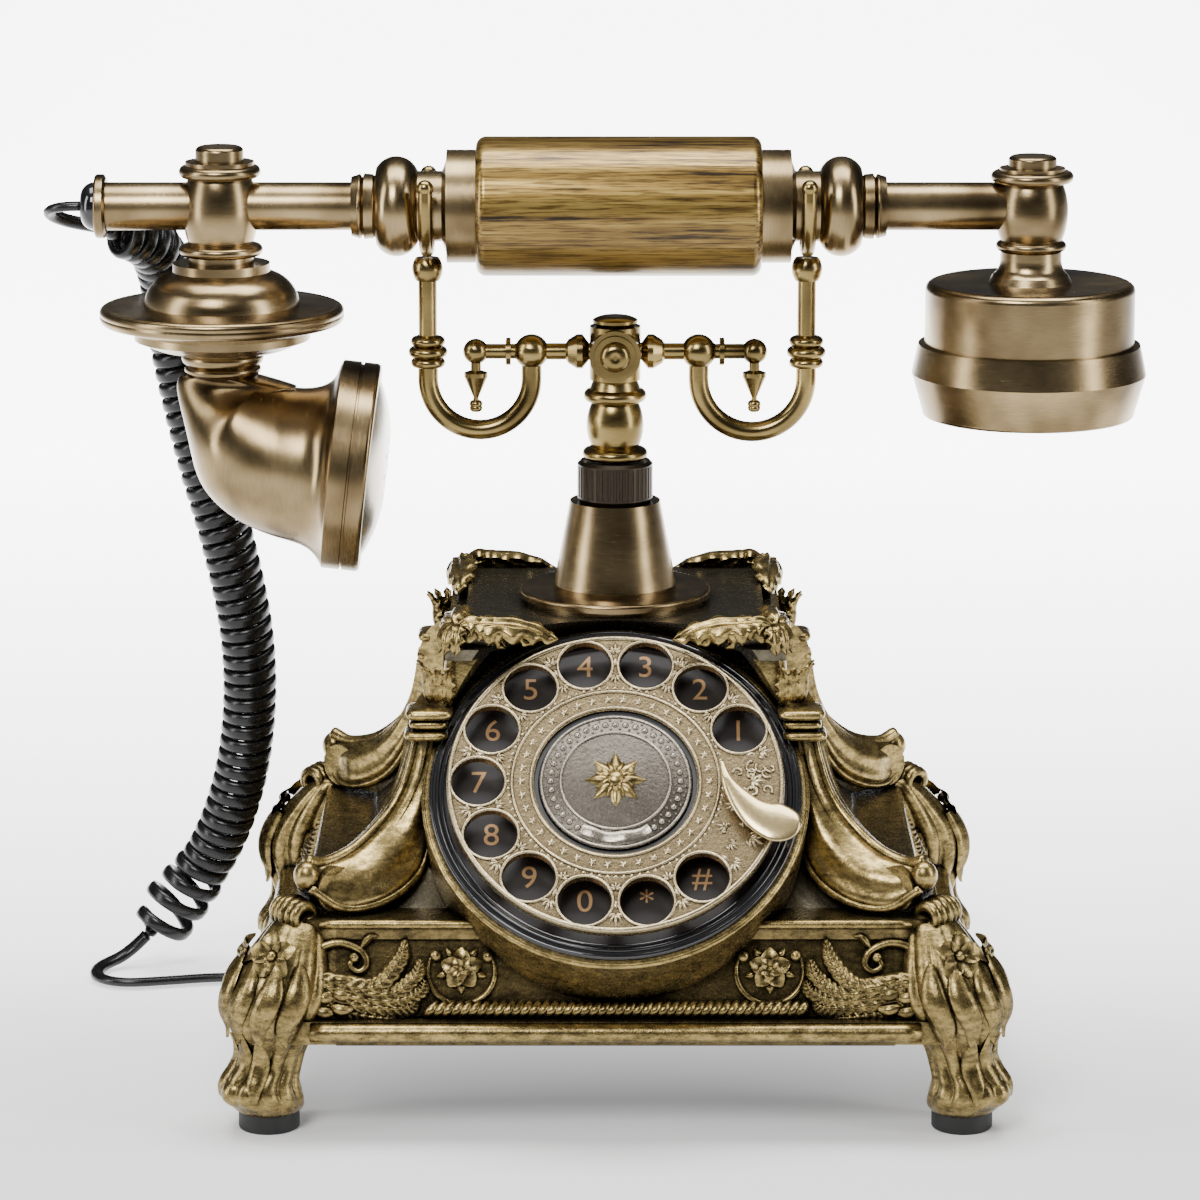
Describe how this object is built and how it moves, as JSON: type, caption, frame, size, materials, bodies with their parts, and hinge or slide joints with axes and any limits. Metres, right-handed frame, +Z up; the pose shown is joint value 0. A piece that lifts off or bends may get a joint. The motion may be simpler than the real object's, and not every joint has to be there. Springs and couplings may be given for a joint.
{
  "type": "cradle telephone",
  "caption": "Antique-style desk telephone: ornate footed base with a tilted finger-wheel dial, forked cradle on a cone pedestal, and a horn handset on a curly cord.",
  "frame": {"origin": "on the floor under the pedestal's axis, midway between the feet", "axes": "+Z up, the dial faces -Y, the receiver is at +X and the transmitter horn at -X"},
  "size_m": [0.2767, 0.1748, 0.2351],
  "materials": {
    "aged_gold": "cast resin with antique gold lacquer and dark patina",
    "antique_brass": "brushed antique brass",
    "grained_gold": "gold lacquer over dark lengthwise grain",
    "dark_bronze": "blackened, fluted",
    "pale_brass": "satin, engraved",
    "nickel_silver": "satin with a raised rosette",
    "cream_brass": "polished",
    "black_gloss": "glossy",
    "black_print": "matt with copper figures",
    "black_plastic": "moulded",
    "rubber": "moulded",
    "cord_black": "satin",
    "steel": "zinc plated",
    "gear_brass": "machined",
    "board_green": "solder mask"
  },
  "bodies": {
    "base": {"lower_casing": "aged_gold", "legs": "aged_gold", "upper_casing": "aged_gold", "dial_housing": "aged_gold", "pedestal_disc": "antique_brass", "pedestal_cone": "antique_brass", "knurled_collar": "dark_bronze", "dial_bezel": "black_gloss", "number_plate": "black_print", "bottom_plate": "black_plastic", "dial_frame": "black_plastic", "dial_core": "black_plastic", "loudspeaker": "black_plastic", "line_jack": "black_plastic", "hook_switch": "black_plastic", "base_microphone": "black_plastic", "standoffs": "black_plastic", "rubber_feet": "rubber", "cord_grommet": "rubber", "curly_cord": "cord_black", "cord_lower_lead": "cord_black", "bottom_screws": "steel", "hook_spring": "steel", "return_spring": "steel", "circuit_board": "board_green", "contact_board": "board_green"},
    "dial": {"finger_wheel": "pale_brass", "dial_sleeve_gear": "gear_brass"},
    "governor": {"governor": "gear_brass"},
    "button": {"hands_free_button": "nickel_silver"},
    "stop": {"finger_stop": "cream_brass"},
    "cradle": {"plunger_rod": "steel", "cradle_stem": "antique_brass", "cradle_block": "antique_brass", "cradle_caps": "antique_brass", "cradle_arms": "antique_brass", "finials": "antique_brass", "cradle_hooks": "antique_brass", "yokes": "antique_brass"},
    "handset": {"grip_sleeve": "grained_gold", "grip_core_tube": "steel", "ring_collars": "antique_brass", "turned_necks": "antique_brass", "handset_tubes": "antique_brass", "end_stub": "antique_brass", "cord_bush": "black_plastic", "transmitter_post": "antique_brass", "receiver_post": "antique_brass", "post_caps": "antique_brass", "transmitter_dome": "antique_brass", "drip_dish": "antique_brass", "horn_collar": "antique_brass", "horn_elbow": "antique_brass", "bell_ring": "antique_brass", "mouthpiece_grille": "pale_brass", "transmitter_capsule": "black_plastic", "receiver_cup": "antique_brass", "ear_cap": "antique_brass", "receiver_capsule": "black_plastic", "cord_upper_lead": "cord_black"}
  },
  "joints": [
    {"name": "dial_turn", "type": "hinge", "parent": "base", "child": "dial", "pos_m": [0, -0.06, 0.085], "axis": [0, 0.7254, -0.6884], "range_deg": [0, 312], "stiffness_Nm_per_rad": 0.004, "springref_deg": -45.84},
    {"name": "governor_spin", "type": "hinge", "parent": "base", "child": "governor", "pos_m": [-0.02132, -0.04532, 0.10046], "axis": [0, 0.7254, -0.6884], "range_deg": [-1600, 0]},
    {"name": "button_press", "type": "slide", "parent": "base", "child": "button", "axis": [0, 0.7254, -0.6884], "range_m": [0, 0.0015], "stiffness_N_per_m": 500, "springref_m": -0.001},
    {"name": "stop_press", "type": "slide", "parent": "base", "child": "stop", "axis": [0, 0.7254, -0.6884], "range_m": [0, 0.0012], "stiffness_N_per_m": 300, "springref_m": -0.001},
    {"name": "handset_lift", "type": "slide", "parent": "base", "child": "handset", "axis": [0, 0, 1], "range_m": [0, 0.04], "deforming": ["curly_cord"]},
    {"name": "hook_rise", "type": "slide", "parent": "base", "child": "cradle", "axis": [0, 0, 1], "range_m": [0, 0.0045], "deforming": ["hook_spring"]}
  ],
  "couplings": [
    {"joint": "governor_spin", "follows": "dial_turn", "ratio": -5},
    {"joint": "hook_rise", "follows": "handset_lift", "ratio": 0.1125}
  ]
}
